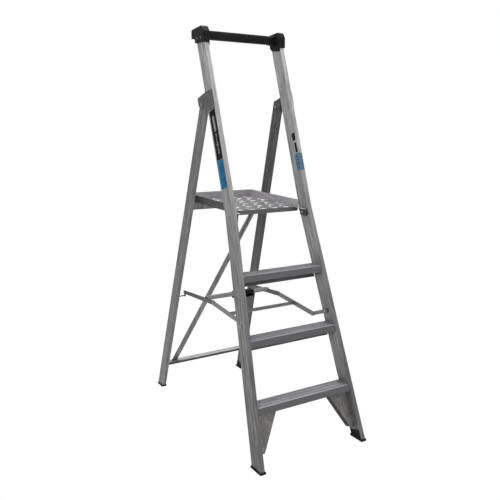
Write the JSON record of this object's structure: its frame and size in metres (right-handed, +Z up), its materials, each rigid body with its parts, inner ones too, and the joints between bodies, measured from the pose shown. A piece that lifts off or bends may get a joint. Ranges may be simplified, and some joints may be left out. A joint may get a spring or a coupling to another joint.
{
  "type": "platform step ladder",
  "caption": "Folding step ladder with a hinged kerbed platform, ribbed treads, a hand rail above and a folding spreader between the frames.",
  "frame": {"origin": "bottom centre of the open ladder's bounding box, on the floor", "axes": "+X to the climber's right seen from the front, +Y from the climbing side to the rear legs, +Z up"},
  "size_m": [0.6556, 1.27, 2.121],
  "materials": {
    "aluminium": "extruded, satin, lightly brushed",
    "tread_aluminium": "ribbed mill finish",
    "deck_aluminium": "raised chequer marks, worn bright on top",
    "dark_steel": "dark grey, satin",
    "fastener_steel": "plain",
    "black_plastic": "moulded, fine grain",
    "rubber": "matt"
  },
  "bodies": {
    "front_frame": {"front_stile_left": "aluminium", "front_stile_right": "aluminium", "tread_1": "tread_aluminium", "tread_2": "tread_aluminium", "tread_3": "tread_aluminium", "tread_brackets": "aluminium", "tread_rivets": "fastener_steel", "gusset_left": "aluminium", "gusset_right": "aluminium", "gusset_rivets": "fastener_steel", "front_foot_left": "rubber", "front_foot_right": "rubber", "handrail_cap_left": "black_plastic", "handrail_cap_right": "black_plastic", "handrail_grip": "black_plastic", "handrail_screws": "fastener_steel", "hinge_plate_left": "dark_steel", "hinge_plate_right": "dark_steel", "hinge_rivets": "fastener_steel", "platform_pivot_bolts": "fastener_steel", "spreader_front_bolts": "fastener_steel"},
    "rear_frame": {"rear_leg_left": "aluminium", "rear_leg_right": "aluminium", "rear_beam": "aluminium", "rear_lower_bar": "aluminium", "rear_diagonal": "aluminium", "rear_rivets": "fastener_steel", "rear_foot_left": "rubber", "rear_foot_right": "rubber", "hinge_pivot_bolts": "fastener_steel"},
    "platform": {"platform_deck": "deck_aluminium", "platform_arm_left": "aluminium", "platform_arm_right": "aluminium", "platform_rivets": "fastener_steel", "platform_bearings": "black_plastic"},
    "spreader_rear": {"spreader_link_left": "dark_steel", "spreader_link_right": "dark_steel", "spreader_cross_channel": "aluminium", "spreader_rear_pins": "fastener_steel", "spreader_grip": "black_plastic"},
    "spreader_front": {"spreader_rod_left": "dark_steel", "spreader_rod_right": "dark_steel", "spreader_front_strip": "aluminium", "spreader_knee_rivets": "fastener_steel"}
  },
  "joints": [
    {"name": "rear_frame_fold", "type": "hinge", "parent": "front_frame", "child": "rear_frame", "pos_m": [0, 0.073, 1.725], "axis": [-1, 0, 0], "range_deg": [0, 26.8]},
    {"name": "platform_tip", "type": "hinge", "parent": "front_frame", "child": "platform", "pos_m": [0, -0.205, 1.168], "axis": [1, 0, 0], "range_deg": [0, 61.7]},
    {"name": "spreader_front_swing", "type": "hinge", "parent": "front_frame", "child": "spreader_front", "pos_m": [0, -0.371, 0.652], "axis": [1, 0, 0], "range_deg": [0, 46.9]},
    {"name": "spreader_rear_swing", "type": "hinge", "parent": "rear_frame", "child": "spreader_rear", "pos_m": [0, 0.408, 0.622], "axis": [-1, 0, 0], "range_deg": [0, 58.7]}
  ],
  "couplings": [
    {"joint": "platform_tip", "follows": "rear_frame_fold", "ratio": 2.3},
    {"joint": "spreader_front_swing", "follows": "rear_frame_fold", "ratio": 1.7469},
    {"joint": "spreader_rear_swing", "follows": "rear_frame_fold", "ratio": 2.1887}
  ]
}
